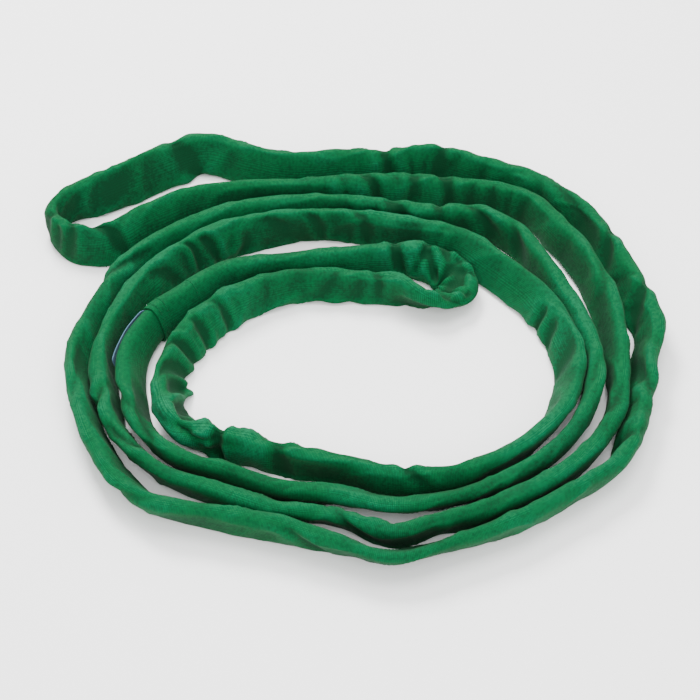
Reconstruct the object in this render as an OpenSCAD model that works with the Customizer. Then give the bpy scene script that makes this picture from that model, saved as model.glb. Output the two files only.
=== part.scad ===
// Endless round sling, laid down in a loose coil of doubled turns.
// A hank of yarn carries the load inside a loose woven jacket. The jacket's two
// ends overlap in one sewn closure, where the identification label is caught in.

/* [Sling] */
// Effective working length: half of the endless loop, end to end when pulled straight
effective_length = 3500; // [3500:50:4000]

/* [Jacket] */
// Width of the strand where it lies undisturbed
strand_width = 44; // [40:1:44]
// Thickness of the strand at that width
strand_thickness = 19; // [16:1:19]
// Wall of the jacket's woven tube
jacket_wall = 1.6; // [1:0.1:2]
// How far the sleeve stands out where it slips over the jacket's other end
sleeve_rise = 1.5; // [1.2:0.1:1.8]

/* [Core] */
// Half width of one yarn bundle, across the strand
bundle_half_width = 5.2; // [4:0.1:5.4]
// Half thickness of one yarn bundle
bundle_half_thickness = 3.6; // [3:0.1:3.8]
// Thickness of the tape that binds the yarn's two ends
tape_thickness = 0.6; // [0.4:0.1:0.6]

/* [Label] */
// Thickness of the label
label_thickness = 0.8; // [0.6:0.1:1]
// Room between the label and the strand that it lies against
label_gap = 0.9; // [0.8:0.1:1.2]

/* [Stitching] */
// Width of one stitch, along the strand
stitch_width = 1.6; // [1:0.1:2]
// How far the thread stands proud of the cloth
stitch_proud = 0.5; // [0.3:0.1:0.6]
// Stitches in one row around the sleeve
stitches_around = 24; // [16:4:32]

/* [Hidden] */

// The strand's route in plan, before it is sized to the loop's length. Each row is
// [x, y, lean, width]: the strand's centre, how far the flattened strand is turned
// up from lying flat in degrees (90 stands on its edge, less leans its top to the
// left of travel), and how wide it is pressed there.
ROUTE = [
    // outer turn, wound inwards
    [-311, 158, 90, 42], [-290, 186, 75, 46], [-245, 212, 60, 50], [-195, 247, 60, 50],
    [-150, 270, 60, 48], [-105, 254, 65, 46], [-55, 243, 75, 44], [0, 250, 80, 44],
    [50, 248, 75, 44], [100, 254, 70, 46], [150, 240, 75, 44], [200, 218, 75, 42],
    [242, 183, 75, 42], [272, 138, 70, 42], [298, 67, 65, 42], [314, -5, 60, 44],
    [304, -58, 60, 44], [295, -110, 65, 42], [279, -163, 62, 42], [256, -200, 65, 42],
    [213, -232, 65, 42], [163, -263, 65, 42], [110, -287, 60, 44], [50, -305, 50, 46],
    [0, -291, 60, 44], [-60, -273, 75, 42], [-120, -258, 70, 42], [-173, -242, 60, 42],
    [-209, -208, 55, 42], [-238, -155, 65, 42], [-255, -97, 65, 44], [-260, -45, 60, 44],
    [-252, 2, 65, 42], [-240, 36, 70, 42],
    // middle turn, wound inwards
    [-229, 65, 70, 42], [-203, 103, 75, 42], [-160, 138, 80, 42], [-110, 163, 80, 42],
    [-55, 174, 80, 42], [0, 175, 85, 42], [50, 167, 80, 42], [100, 158, 80, 42], [150, 154, 85, 44],
    [190, 123, 80, 42], [213, 72, 75, 42], [239, 10, 75, 40], [255, -55, 80, 40],
    [247, -108, 78, 40], [220, -157, 70, 40], [181, -198, 68, 40], [120, -231, 58, 42],
    [55, -243, 50, 46], [0, -231, 55, 44], [-55, -225, 65, 42], [-105, -205, 70, 42],
    [-153, -186, 68, 42], [-188, -148, 65, 42], [-205, -100, 60, 44], [-208, -50, 60, 44],
    [-190, -3, 70, 42],
    // inner turn, up to and round the inner bight
    [-165, 24, 75, 42], [-120, 65, 80, 42], [-70, 81, 80, 42], [-10, 90, 80, 42], [35, 97, 82, 42],
    [64, 98, 78, 42], [85, 95, 58, 44], [102, 91, 38, 46], [116, 81, 25, 47], [122, 66, 20, 47],
    [117, 50, 22, 47], [104, 40, 34, 46],
    // inner turn, on the way back out
    [86, 39, 56, 44], [64, 48, 80, 42], [30, 57, 98, 38], [-5, 59, 104, 38], [-45, 59, 110, 40],
    [-85, 43, 110, 42], [-120, 18, 115, 44], [-150, -20, 120, 44],
    // middle turn, on the way back out
    [-166, -58, 125, 44], [-166, -102, 125, 44], [-150, -145, 120, 42], [-113, -166, 95, 42],
    [-58, -184, 90, 42], [0, -199, 92, 42], [50, -213, 92, 42], [105, -210, 105, 42],
    [150, -189, 110, 42], [185, -162, 112, 42], [215, -120, 120, 44], [229, -62, 125, 45],
    [220, -8, 122, 45], [197, 38, 115, 46], [163, 78, 110, 46], [125, 118, 105, 44],
    [75, 137, 95, 42], [20, 149, 92, 42], [-30, 152, 92, 44], [-80, 141, 95, 46],
    [-130, 121, 105, 46], [-172, 86, 110, 46], [-205, 42, 115, 46],
    // outer turn, on the way back out
    [-229, -12, 110, 42], [-236, -62, 112, 42], [-228, -112, 112, 42], [-213, -155, 115, 42],
    [-174, -200, 115, 42], [-118, -228, 115, 42], [-55, -248, 128, 44], [0, -260, 120, 44],
    [50, -280, 112, 42], [92, -265, 118, 42], [132, -252, 115, 40], [180, -226, 115, 42],
    [228, -188, 110, 40], [261, -140, 105, 38], [275, -90, 102, 38], [278, -35, 112, 42],
    [274, 18, 112, 44], [260, 74, 110, 44], [237, 125, 108, 44], [203, 178, 105, 42],
    [155, 198, 98, 42], [100, 208, 98, 42], [50, 211, 98, 42], [0, 209, 98, 42],
    [-55, 199, 100, 44], [-110, 192, 115, 46], [-160, 180, 120, 48], [-208, 150, 120, 50],
    [-250, 120, 115, 48], [-288, 124, 105, 46],];
POINTS = len(ROUTE);

// The sewn closure: the route point where the sleeve's hem lies, and how many
// points further on the jacket's covered end stops
HEM_POINT = 59;
OVERLAP_POINTS = 1.5;
// Points over which the strand swells or narrows to the closure's size
TAPER_POINTS = 1;

// Cross-section: an eight-sided oval, its corners a little outside the true oval
SIDES = 8;
CORNER_SCALE = 1.02;
HALF_SIDE = 180 / SIDES;
// Rings of the jacket and the core for each route point
RINGS = 2;

// The jacket's covered end is drawn in by this much, to slip into the sleeve
TUCK = 1.1;
// The yarn's turns lie side by side, this far apart across the strand, and move
// over by one place in each turn, between these two points past the hem
TURNS = 3;
BUNDLE_SIDES = 5;
BUNDLE_PITCH = 11.6;
SHIFT_FROM = 4;
SHIFT_TO = 6;
// The tape lies this far inside the strand's surface, for this many points after the shift
TAPE_DEPTH = 2.2;
TAPE_FROM = 4.5;
TAPE_TO = 5.5;

// The label's stretch of the route, from its free end to the hinge line and on
// into the seam, and its lower and upper edges as corners of the cross-section
LABEL_END = -1.3;
LABEL_ROOT = -0.12;
MARGIN_START = 0.04;
MARGIN_END = 0.3;
LABEL_LOW = 4.3;
LABEL_HIGH = 6.9;
MARGIN_CLEARANCE = 0.2;
LABEL_STEPS = 6;

// Rows of stitches, in points past the hem. The first one holds the label too.
HEM_ROW = 0.14;
FULL_ROWS = [0.42, 1.3];
STITCH_FILL = 0.62;
LABEL_STITCHES = 8;
STITCH_DEPTH = TUCK + jacket_wall / 2;
THREAD_CLEARANCE = 0.4;

function open_row(i) = ROUTE[(i % POINTS + POINTS) % POINTS];

// Catmull-Rom curve through the closed route, at any point number p
function blend_rows(a, b, c, d, t) =
    0.5 * (2 * b + (c - a) * t + (2 * a - 5 * b + 4 * c - d) * t * t
           + (3 * b - a - 3 * c + d) * t * t * t);
function plan_row(p) =
    let (i = floor(p))
    blend_rows(open_row(i - 1), open_row(i), open_row(i + 1), open_row(i + 2), p - i);

// The plan is sized so that the curve is as long as the loop
LENGTH_STEPS = 4;
function flat(row) = [row[0], row[1]];
function total(list) = list * [for (value = list) 1];
PLAN_LENGTH = total([for (k = [0 : POINTS * LENGTH_STEPS - 1])
    norm(flat(plan_row((k + 1) / LENGTH_STEPS) - plan_row(k / LENGTH_STEPS)))]);
PLAN_SCALE = 2 * effective_length / PLAN_LENGTH;
SECTION_AREA = strand_width * strand_thickness;

// Places along the strand are counted in points past the hem
function from_hem(past) = past - POINTS * floor(past / POINTS + 0.5);
function ramp(x) = min(1, max(0, x));
function after_closure(past) = ramp((past - OVERLAP_POINTS - TAPER_POINTS / 2) / TAPER_POINTS);
function before_closure(past) = ramp((past + TAPER_POINTS / 2 + TAPER_POINTS) / TAPER_POINTS);
// The jacket's own size along its length: sleeve first, covered end last
function jacket_growth(past) =
    past < POINTS / 2 ? sleeve_rise * (1 - after_closure(past)) : -TUCK * before_closure(past - POINTS);
// Room left under the strand for the sleeve and its thread
function closure_room(past) =
    (sleeve_rise + stitch_proud + THREAD_CLEARANCE)
    * min(before_closure(past), 1 - after_closure(past));

function corner_angle(i) = HALF_SIDE + i * 360 / SIDES;
function corner_offset(half_w, half_t, i) =
    CORNER_SCALE * [half_w * cos(corner_angle(i)), half_t * sin(corner_angle(i))];

// A place beside the strand: u across the flattened strand, v through it
function left_of(d) = [-d[1], d[0]] / norm(d);
function travel(p) = flat(plan_row(p + 0.05) - plan_row(p - 0.05));
function half_width(row) = row[3] / 2;
function half_thickness(row) = SECTION_AREA / row[3] / 2;
function height_over(row, uv) = uv[0] * sin(row[2]) + uv[1] * cos(row[2]);
function rest_height(row, past) =
    let (g = closure_room(from_hem(past)))
    -min([for (i = [0 : SIDES - 1])
        height_over(row, corner_offset(half_width(row) + g, half_thickness(row) + g, i))]);
function place(past, uv) =
    let (p = HEM_POINT + past, row = plan_row(p), side = left_of(travel(p)),
         out = uv[0] * cos(row[2]) - uv[1] * sin(row[2]))
    [PLAN_SCALE * row[0] + side[0] * out,
     PLAN_SCALE * row[1] + side[1] * out,
     rest_height(row, past) + height_over(row, uv)];
function corner(past, i, grow) =
    let (row = plan_row(HEM_POINT + past))
    place(past, corner_offset(half_width(row) + grow, half_thickness(row) + grow, i));

// A point on the faceted surface, between rings and between corners
function mix(a, b, t) = a + (b - a) * t;
function on_ring(past, f, grow) =
    let (i = floor(f))
    mix(corner(past, i, grow), corner(past, i + 1, grow), f - i);
function on_wall(past, f, grow) =
    let (ring = floor(past * RINGS) / RINGS)
    mix(on_ring(ring, f, grow), on_ring(ring + 1 / RINGS, f, grow), (past - ring) * RINGS);

// The model's origin is under the middle of the coil
COIL = [for (k = [0 : POINTS * RINGS - 1]) for (i = [0 : SIDES - 1])
    corner(k / RINGS, i, jacket_growth(k / RINGS))];
COIL_X = [for (point = COIL) point[0]];
COIL_Y = [for (point = COIL) point[1]];
CENTRE = [(min(COIL_X) + max(COIL_X)) / 2, (min(COIL_Y) + max(COIL_Y)) / 2, 0];

// Faces between rings of points, and flat end caps. Rings run anticlockwise seen
// against the direction of travel.
function skin(rings, count, first = 0, flip = false) =
    [for (k = [0 : rings - 2]) for (i = [0 : count - 1])
        let (a = first + k * count + i, b = first + k * count + (i + 1) % count,
             c = b + count, d = a + count)
        for (face = flip ? [[a, b, c], [a, c, d]] : [[a, c, b], [a, d, c]]) face];
function annulus(outer, inner, count, flip) =
    [for (i = [0 : count - 1])
        let (j = (i + 1) % count)
        for (face = flip ? [[outer + i, inner + j, outer + j], [outer + i, inner + i, inner + j]]
                         : [[outer + i, outer + j, inner + j], [outer + i, inner + j, inner + i]])
            face];
function disc(first, count, flip) =
    [for (i = [1 : count - 2])
        flip ? [first, first + i + 1, first + i] : [first, first + i, first + i + 1]];

// A hollow tube along the strand: grow_at gives the outer surface's offset at each ring
module hollow_tube(stations, grows, wall) {
    rings = len(stations);
    outer = [for (k = [0 : rings - 1]) for (i = [0 : SIDES - 1])
        corner(stations[k], i, grows[k])];
    inner = [for (k = [0 : rings - 1]) for (i = [0 : SIDES - 1])
        corner(stations[k], i, grows[k] - wall)];
    start = rings * SIDES;
    last = (rings - 1) * SIDES;
    translate(-CENTRE)
        polyhedron(concat(outer, inner),
                   concat(skin(rings, SIDES), skin(rings, SIDES, start, true),
                          annulus(0, start, SIDES, false),
                          annulus(last, start + last, SIDES, true)),
                   convexity = 10);
}

// A piece of sheet on the strand's surface, from one layer to another
module wall_sheet(from, to, low, high, inside, outside, steps, steps_across) {
    count = 2 * (steps_across + 1);
    points = [for (k = [0 : steps])
        let (past = mix(from, to, k / steps))
        for (n = [0 : count - 1])
            let (up = n <= steps_across,
                 f = mix(low, high, (up ? n : count - 1 - n) / steps_across))
            on_wall(past, f, up ? outside : inside)];
    last = steps * count;
    translate(-CENTRE)
        polyhedron(points,
                   concat(skin(steps + 1, count), sheet_end(0, steps_across, count, false),
                          sheet_end(last, steps_across, count, true)),
                   convexity = 6);
}
function sheet_end(first, across, count, flip) =
    [for (n = [0 : across - 1])
        let (a = first + n, b = a + 1, c = first + count - 2 - n, d = c + 1)
        for (face = flip ? [[a, c, b], [a, d, c]] : [[a, b, c], [a, c, d]]) face];

// The woven tube: sleeve at the hem, once round the whole loop, and the covered end
module jacket() {
    steps = (POINTS + OVERLAP_POINTS) * RINGS;
    stations = [for (k = [0 : steps]) k / RINGS];
    color("#178a50")
        hollow_tube(stations, [for (past = stations) jacket_growth(past)], jacket_wall);
}

// The load-bearing yarn, one continuous bundle wound round and round inside the jacket
function slot_at(past) =
    let (turn = floor(past / POINTS), within = past - turn * POINTS)
    turn + ramp((within - SHIFT_FROM) / (SHIFT_TO - SHIFT_FROM)) - (TURNS + 1) / 2;
function bundle_corner(past, i) =
    let (row = plan_row(HEM_POINT + past), angle = i * 360 / BUNDLE_SIDES,
         wide = half_width(row) * 2 / strand_width,
         thick = half_thickness(row) * 2 / strand_thickness)
    place(past, [wide * (slot_at(past) * BUNDLE_PITCH + bundle_half_width * cos(angle)),
                          thick * bundle_half_thickness * sin(angle)]);
module core_yarn() {
    steps = (POINTS * TURNS - (SHIFT_TO - SHIFT_FROM)) * RINGS;
    points = [for (k = [0 : steps]) for (i = [0 : BUNDLE_SIDES - 1])
        bundle_corner(SHIFT_TO + k / RINGS, i)];
    color("#e9e6da")
        translate(-CENTRE)
            polyhedron(points,
                       concat(skin(steps + 1, BUNDLE_SIDES), disc(0, BUNDLE_SIDES, false),
                              disc(steps * BUNDLE_SIDES, BUNDLE_SIDES, true)),
                       convexity = 10);
}

// Tape wound round the hank where the yarn begins and ends
module core_end_tape() {
    stations = [for (k = [0 : (TAPE_TO - TAPE_FROM) * RINGS]) TAPE_FROM + k / RINGS];
    color("#c9b98a")
        hollow_tube(stations, [for (past = stations) -TAPE_DEPTH], tape_thickness);
}

// One row of stitches between two corners of the cross-section, through the cloth
module stitch_row(past, low, high, count) {
    pitch = (high - low) / count;
    along = stitch_width / 2 / PLAN_LENGTH * POINTS;
    for (n = [0 : count - 1])
        let (start = low + n * pitch)
            wall_sheet(past - along, past + along, start, start + pitch * STITCH_FILL,
                       -STITCH_DEPTH, sleeve_rise + stitch_proud, 1, 1);
}

// Thread rows right round the sleeve, through both layers of the jacket
module closure_stitches() {
    share = (SIDES - LABEL_HIGH + LABEL_LOW) / SIDES;
    color("#2aa868") {
        stitch_row(HEM_ROW, LABEL_HIGH, SIDES + LABEL_LOW, floor(stitches_around * share));
        for (row = FULL_ROWS)
            stitch_row(row, 0, SIDES, stitches_around);
    }
}

// The strip of the label that is caught between the sleeve and the covered end
module label_margin() {
    outside = sleeve_rise - jacket_wall - MARGIN_CLEARANCE;
    color("#8fb0cf")
        wall_sheet(MARGIN_START, MARGIN_END, LABEL_LOW, LABEL_HIGH,
                   MARGIN_CLEARANCE - TUCK, outside, 2, LABEL_STEPS);
}

// The label itself, a limp flap that lies against the strand's outer side
module label() {
    color("#7fa8d0")
        wall_sheet(LABEL_END, LABEL_ROOT, LABEL_LOW, LABEL_HIGH,
                   label_gap, label_gap + label_thickness, LABEL_STEPS, LABEL_STEPS);
}

// The one row of thread that holds the label's margin in the seam
module label_stitches() {
    color("#e4e8ee")
        stitch_row(HEM_ROW, LABEL_LOW + 0.1, LABEL_HIGH - 0.1, LABEL_STITCHES);
}

jacket();
core_yarn();
core_end_tape();
closure_stitches();
label_margin();
label();
label_stitches();
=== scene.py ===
"""An endless round sling, lying in a slack coil on the floor.

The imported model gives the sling's frame. This script dresses it: the loose woven
jacket with its gathers and creases, the sewn closure, the label and the studio.
Places along the strand are counted in route points past the sleeve's hem.
"""
import logging
import math
from dataclasses import dataclass, field
from enum import Enum

import bpy
import numpy as np
from mathutils import Matrix, Vector


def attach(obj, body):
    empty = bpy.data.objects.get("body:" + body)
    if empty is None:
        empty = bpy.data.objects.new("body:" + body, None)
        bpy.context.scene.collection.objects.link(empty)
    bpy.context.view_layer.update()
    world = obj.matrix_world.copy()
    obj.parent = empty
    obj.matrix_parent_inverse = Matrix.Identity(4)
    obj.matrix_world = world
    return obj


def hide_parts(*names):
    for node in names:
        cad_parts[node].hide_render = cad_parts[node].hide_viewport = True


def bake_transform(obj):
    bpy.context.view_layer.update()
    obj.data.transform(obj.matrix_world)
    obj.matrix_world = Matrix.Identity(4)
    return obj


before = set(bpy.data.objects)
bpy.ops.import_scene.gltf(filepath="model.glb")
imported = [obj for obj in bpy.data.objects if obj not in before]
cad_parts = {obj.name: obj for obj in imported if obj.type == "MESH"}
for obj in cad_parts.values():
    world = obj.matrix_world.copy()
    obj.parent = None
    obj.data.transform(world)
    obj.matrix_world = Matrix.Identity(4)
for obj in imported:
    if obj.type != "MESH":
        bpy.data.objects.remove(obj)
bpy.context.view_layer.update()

LOG = logging.getLogger("round_sling")
MM = 0.001
FULL_TURN = 2 * math.pi

Row = tuple[float, float, float, float]
Colour = tuple[float, float, float]

# The strand's route in plan, in metres, before it is sized to the loop's length. Each
# row is (x, y, lean, width): lean is how far the flattened strand is turned up from
# lying flat, in degrees, and under 90 it leans its top to the left of travel.
ROUTE: tuple[Row, ...] = (
    # outer turn, wound inwards
    (-0.311, 0.158, 90, 0.042), (-0.29, 0.186, 75, 0.046), (-0.245, 0.212, 60, 0.05),
    (-0.195, 0.247, 60, 0.05), (-0.15, 0.27, 60, 0.048), (-0.105, 0.254, 65, 0.046),
    (-0.055, 0.243, 75, 0.044), (0, 0.25, 80, 0.044), (0.05, 0.248, 75, 0.044), (0.1, 0.254, 70, 0.046),
    (0.15, 0.24, 75, 0.044), (0.2, 0.218, 75, 0.042), (0.242, 0.183, 75, 0.042),
    (0.272, 0.138, 70, 0.042), (0.298, 0.067, 65, 0.042), (0.314, -0.005, 60, 0.044),
    (0.304, -0.058, 60, 0.044), (0.295, -0.11, 65, 0.042), (0.279, -0.163, 62, 0.042),
    (0.256, -0.2, 65, 0.042), (0.213, -0.232, 65, 0.042), (0.163, -0.263, 65, 0.042),
    (0.11, -0.287, 60, 0.044), (0.05, -0.305, 50, 0.046), (0, -0.291, 60, 0.044),
    (-0.06, -0.273, 75, 0.042), (-0.12, -0.258, 70, 0.042), (-0.173, -0.242, 60, 0.042),
    (-0.209, -0.208, 55, 0.042), (-0.238, -0.155, 65, 0.042), (-0.255, -0.097, 65, 0.044),
    (-0.26, -0.045, 60, 0.044), (-0.252, 0.002, 65, 0.042), (-0.24, 0.036, 70, 0.042),
    # middle turn, wound inwards
    (-0.229, 0.065, 70, 0.042), (-0.203, 0.103, 75, 0.042), (-0.16, 0.138, 80, 0.042),
    (-0.11, 0.163, 80, 0.042), (-0.055, 0.174, 80, 0.042), (0, 0.175, 85, 0.042),
    (0.05, 0.167, 80, 0.042), (0.1, 0.158, 80, 0.042), (0.15, 0.154, 85, 0.044),
    (0.19, 0.123, 80, 0.042), (0.213, 0.072, 75, 0.042), (0.239, 0.01, 75, 0.04),
    (0.255, -0.055, 80, 0.04), (0.247, -0.108, 78, 0.04), (0.22, -0.157, 70, 0.04),
    (0.181, -0.198, 68, 0.04), (0.12, -0.231, 58, 0.042), (0.055, -0.243, 50, 0.046),
    (0, -0.231, 55, 0.044), (-0.055, -0.225, 65, 0.042), (-0.105, -0.205, 70, 0.042),
    (-0.153, -0.186, 68, 0.042), (-0.188, -0.148, 65, 0.042), (-0.205, -0.1, 60, 0.044),
    (-0.208, -0.05, 60, 0.044), (-0.19, -0.003, 70, 0.042),
    # inner turn, up to and round the inner bight
    (-0.165, 0.024, 75, 0.042), (-0.12, 0.065, 80, 0.042), (-0.07, 0.081, 80, 0.042),
    (-0.01, 0.09, 80, 0.042), (0.035, 0.097, 82, 0.042), (0.064, 0.098, 78, 0.042),
    (0.085, 0.095, 58, 0.044), (0.102, 0.091, 38, 0.046), (0.116, 0.081, 25, 0.047),
    (0.122, 0.066, 20, 0.047), (0.117, 0.05, 22, 0.047), (0.104, 0.04, 34, 0.046),
    # inner turn, on the way back out
    (0.086, 0.039, 56, 0.044), (0.064, 0.048, 80, 0.042), (0.03, 0.057, 98, 0.038),
    (-0.005, 0.059, 104, 0.038), (-0.045, 0.059, 110, 0.04), (-0.085, 0.043, 110, 0.042),
    (-0.12, 0.018, 115, 0.044), (-0.15, -0.02, 120, 0.044),
    # middle turn, on the way back out
    (-0.166, -0.058, 125, 0.044), (-0.166, -0.102, 125, 0.044), (-0.15, -0.145, 120, 0.042),
    (-0.113, -0.166, 95, 0.042), (-0.058, -0.184, 90, 0.042), (0, -0.199, 92, 0.042),
    (0.05, -0.213, 92, 0.042), (0.105, -0.21, 105, 0.042), (0.15, -0.189, 110, 0.042),
    (0.185, -0.162, 112, 0.042), (0.215, -0.12, 120, 0.044), (0.229, -0.062, 125, 0.045),
    (0.22, -0.008, 122, 0.045), (0.197, 0.038, 115, 0.046), (0.163, 0.078, 110, 0.046),
    (0.125, 0.118, 105, 0.044), (0.075, 0.137, 95, 0.042), (0.02, 0.149, 92, 0.042),
    (-0.03, 0.152, 92, 0.044), (-0.08, 0.141, 95, 0.046), (-0.13, 0.121, 105, 0.046),
    (-0.172, 0.086, 110, 0.046), (-0.205, 0.042, 115, 0.046),
    # outer turn, on the way back out
    (-0.229, -0.012, 110, 0.042), (-0.236, -0.062, 112, 0.042), (-0.228, -0.112, 112, 0.042),
    (-0.213, -0.155, 115, 0.042), (-0.174, -0.2, 115, 0.042), (-0.118, -0.228, 115, 0.042),
    (-0.055, -0.248, 128, 0.044), (0, -0.26, 120, 0.044), (0.05, -0.28, 112, 0.042),
    (0.092, -0.265, 118, 0.042), (0.132, -0.252, 115, 0.04), (0.18, -0.226, 115, 0.042),
    (0.228, -0.188, 110, 0.04), (0.261, -0.14, 105, 0.038), (0.275, -0.09, 102, 0.038),
    (0.278, -0.035, 112, 0.042), (0.274, 0.018, 112, 0.044), (0.26, 0.074, 110, 0.044),
    (0.237, 0.125, 108, 0.044), (0.203, 0.178, 105, 0.042), (0.155, 0.198, 98, 0.042),
    (0.1, 0.208, 98, 0.042), (0.05, 0.211, 98, 0.042), (0, 0.209, 98, 0.042),
    (-0.055, 0.199, 100, 0.044), (-0.11, 0.192, 115, 0.046), (-0.16, 0.18, 120, 0.048),
    (-0.208, 0.15, 120, 0.05), (-0.25, 0.12, 115, 0.048), (-0.288, 0.124, 105, 0.046),
)

# How loose the jacket lies, from 0 to 1: (route point, slack)
SLACK: tuple[tuple[float, float], ...] = (
    (0, 0.6), (3, 0.5), (12, 0.5), (20, 0.35), (34, 0.35), (45, 0.3), (56, 0.35), (60, 0.3),
    (64, 0.5), (67, 0.9), (73, 0.9), (76, 0.6), (80, 0.8), (84, 0.8), (86, 0.35), (93, 0.35),
    (96, 0.7), (100, 0.8), (103, 0.5), (111, 0.35), (117, 0.35), (123, 0.5), (129, 0.5), (133, 0.6),
)


class Noise:
    """Smooth noise over the strand's skin: free along it and seamless round it."""

    def __init__(self, seed: int, cells_along: int = 4096, cells_round: int = 24) -> None:
        """Draws the table of values.

        Args:
            seed: Start of the random draw, so that each run gives the same cloth.
            cells_along: Size of the table along the strand.
            cells_round: Size of the table round the strand.
        """
        rng = np.random.default_rng(seed)
        self.table = rng.uniform(-1.0, 1.0, (cells_along, cells_round))

    def __call__(self, along: np.ndarray, turn: np.ndarray, lobes: int) -> np.ndarray:
        """Reads the noise.

        Args:
            along: Place along the strand, in cells.
            turn: Place round the strand, in radians.
            lobes: Number of cells round the strand, at most cells_round.

        Returns:
            Values from -1 to 1.
        """
        around = (turn / FULL_TURN * lobes) % lobes
        i, j = np.floor(along).astype(int), np.floor(around).astype(int)
        s, t = ease(along - i), ease(around - j)
        rows, after = self.table.shape[0], (j + 1) % lobes
        low = self.table[i % rows, j] * (1 - t) + self.table[i % rows, after] * t
        high = self.table[(i + 1) % rows, j] * (1 - t) + self.table[(i + 1) % rows, after] * t
        return low * (1 - s) + high * s


def ramp(x: np.ndarray) -> np.ndarray:
    """Holds x between 0 and 1."""
    return np.clip(x, 0.0, 1.0)


def ease(x: np.ndarray) -> np.ndarray:
    """A smooth step from 0 to 1."""
    t = ramp(x)
    return t * t * (3 - 2 * t)


@dataclass
class Lie:
    """How the strand lies at a row of places along it, one entry for each place."""

    centre: np.ndarray
    side: np.ndarray
    lean: np.ndarray
    half_w: np.ndarray
    half_t: np.ndarray

    def place(self, across: np.ndarray, through: np.ndarray) -> np.ndarray:
        """Points beside the centreline.

        Args:
            across: Distance across the flattened strand, towards its top edge.
            through: Distance through it, towards the right of travel.

        Returns:
            Points in the model's frame.
        """
        out = across * np.cos(self.lean) - through * np.sin(self.lean)
        up = across * np.sin(self.lean) + through * np.cos(self.lean)
        xy = self.centre[..., :2] + self.side * out[..., None]
        return np.concatenate([xy, (self.centre[..., 2] + up)[..., None]], -1)


@dataclass
class Strand:
    """The strand's centreline and its flattened section, the same as the CAD model's."""

    loop_length: float = 7.0
    plain_width: float = 44 * MM
    plain_thickness: float = 19 * MM
    hem_point: float = 59.0
    overlap: float = 1.5
    taper: float = 1.0
    sleeve_rise: float = 1.5 * MM
    tuck: float = 1.1 * MM
    room_under: float = 2.4 * MM
    corners: int = 8
    corner_scale: float = 1.02
    rings_per_point: int = 2
    scale: float = field(init=False, default=1.0)
    coil_centre: np.ndarray = field(init=False)

    def __post_init__(self) -> None:
        """Sizes the plan to the loop's length and centres it, as the CAD model does."""
        steps = np.arange(4 * self.points + 1) / 4
        plan = self.row(steps)[:, :2]
        self.scale = self.loop_length / float(np.linalg.norm(np.diff(plan, axis=0), axis=1).sum())
        self.coil_centre = np.zeros(3)
        past = np.arange(self.points * self.rings_per_point) / self.rings_per_point
        lie, grow = self.lie(past), self.growth(past)
        outline = np.concatenate([
            lie.place((lie.half_w + grow) * across, (lie.half_t + grow) * through)
            for across, through in zip(*self.corner_offsets())])
        low, high = outline.min(0), outline.max(0)
        self.coil_centre = np.array([(low[0] + high[0]) / 2, (low[1] + high[1]) / 2, 0.0])

    @property
    def points(self) -> int:
        """Number of points on the closed route."""
        return len(ROUTE)

    def row(self, point: np.ndarray) -> np.ndarray:
        """Catmull-Rom curve through the closed route.

        Args:
            point: Point numbers, fractions allowed.

        Returns:
            One [x, y, lean, width] row for each point number.
        """
        table = np.array(ROUTE)
        point = np.asarray(point, float)
        i = np.floor(point).astype(int)
        t = (point - i)[..., None]
        a, b, c, d = (table[(i + k) % self.points] for k in (-1, 0, 1, 2))
        return 0.5 * (2 * b + (c - a) * t + (2 * a - 5 * b + 4 * c - d) * t**2
                      + (3 * b - a - 3 * c + d) * t**3)

    def after_closure(self, past: np.ndarray) -> np.ndarray:
        """0 in the closure, rising to 1 beyond it."""
        return ramp((past - self.overlap - self.taper / 2) / self.taper)

    def before_closure(self, past: np.ndarray) -> np.ndarray:
        """0 well before the closure, rising to 1 just before the hem."""
        return ramp((past + 1.5 * self.taper) / self.taper)

    def growth(self, past: np.ndarray) -> np.ndarray:
        """How far the jacket stands out of the plain strand: sleeve first, covered end last."""
        sleeve = self.sleeve_rise * (1 - self.after_closure(past))
        covered = -self.tuck * self.before_closure(past - self.points)
        return np.where(past < self.points / 2, sleeve, covered)

    def from_hem(self, past: np.ndarray) -> np.ndarray:
        """The place on the loop, counted both ways from the hem."""
        return past - self.points * np.floor(past / self.points + 0.5)

    def corner_offsets(self) -> tuple[np.ndarray, np.ndarray]:
        """Unit offsets of the CAD section's corners, across and through the strand."""
        angle = (np.arange(self.corners) + 0.5) * FULL_TURN / self.corners
        return self.corner_scale * np.cos(angle), self.corner_scale * np.sin(angle)

    def lie(self, past: np.ndarray) -> Lie:
        """How the strand lies.

        Args:
            past: Points past the hem.

        Returns:
            The strand's place and section there.
        """
        past = np.asarray(past, float)
        row = self.row(self.hem_point + past)
        step = self.row(self.hem_point + past + 0.05) - self.row(self.hem_point + past - 0.05)
        travel = step[..., :2] / np.linalg.norm(step[..., :2], axis=-1, keepdims=True)
        lean = np.radians(row[..., 2])
        half_w = row[..., 3] / 2
        half_t = self.plain_width * self.plain_thickness / row[..., 3] / 2
        near = self.from_hem(past)
        room = self.room_under * np.minimum(self.before_closure(near), 1 - self.after_closure(near))
        across, through = self.corner_offsets()
        hang = ((half_w + room)[..., None] * across * np.sin(lean)[..., None]
                + (half_t + room)[..., None] * through * np.cos(lean)[..., None])
        centre = np.concatenate([row[..., :2] * self.scale, -hang.min(-1)[..., None]], -1)
        side = np.stack([-travel[..., 1], travel[..., 0]], -1)
        return Lie(centre - self.coil_centre, side, lean, half_w, half_t)

    def length_table(self) -> tuple[np.ndarray, np.ndarray]:
        """Places along the jacket, in points past the hem, and the length up to each."""
        past = np.linspace(0, self.points + self.overlap, 16 * self.points)
        centre = self.lie(past).centre
        steps = np.linalg.norm(np.diff(centre, axis=0), axis=1)
        return past, np.concatenate([[0.0], np.cumsum(steps)])


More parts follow.
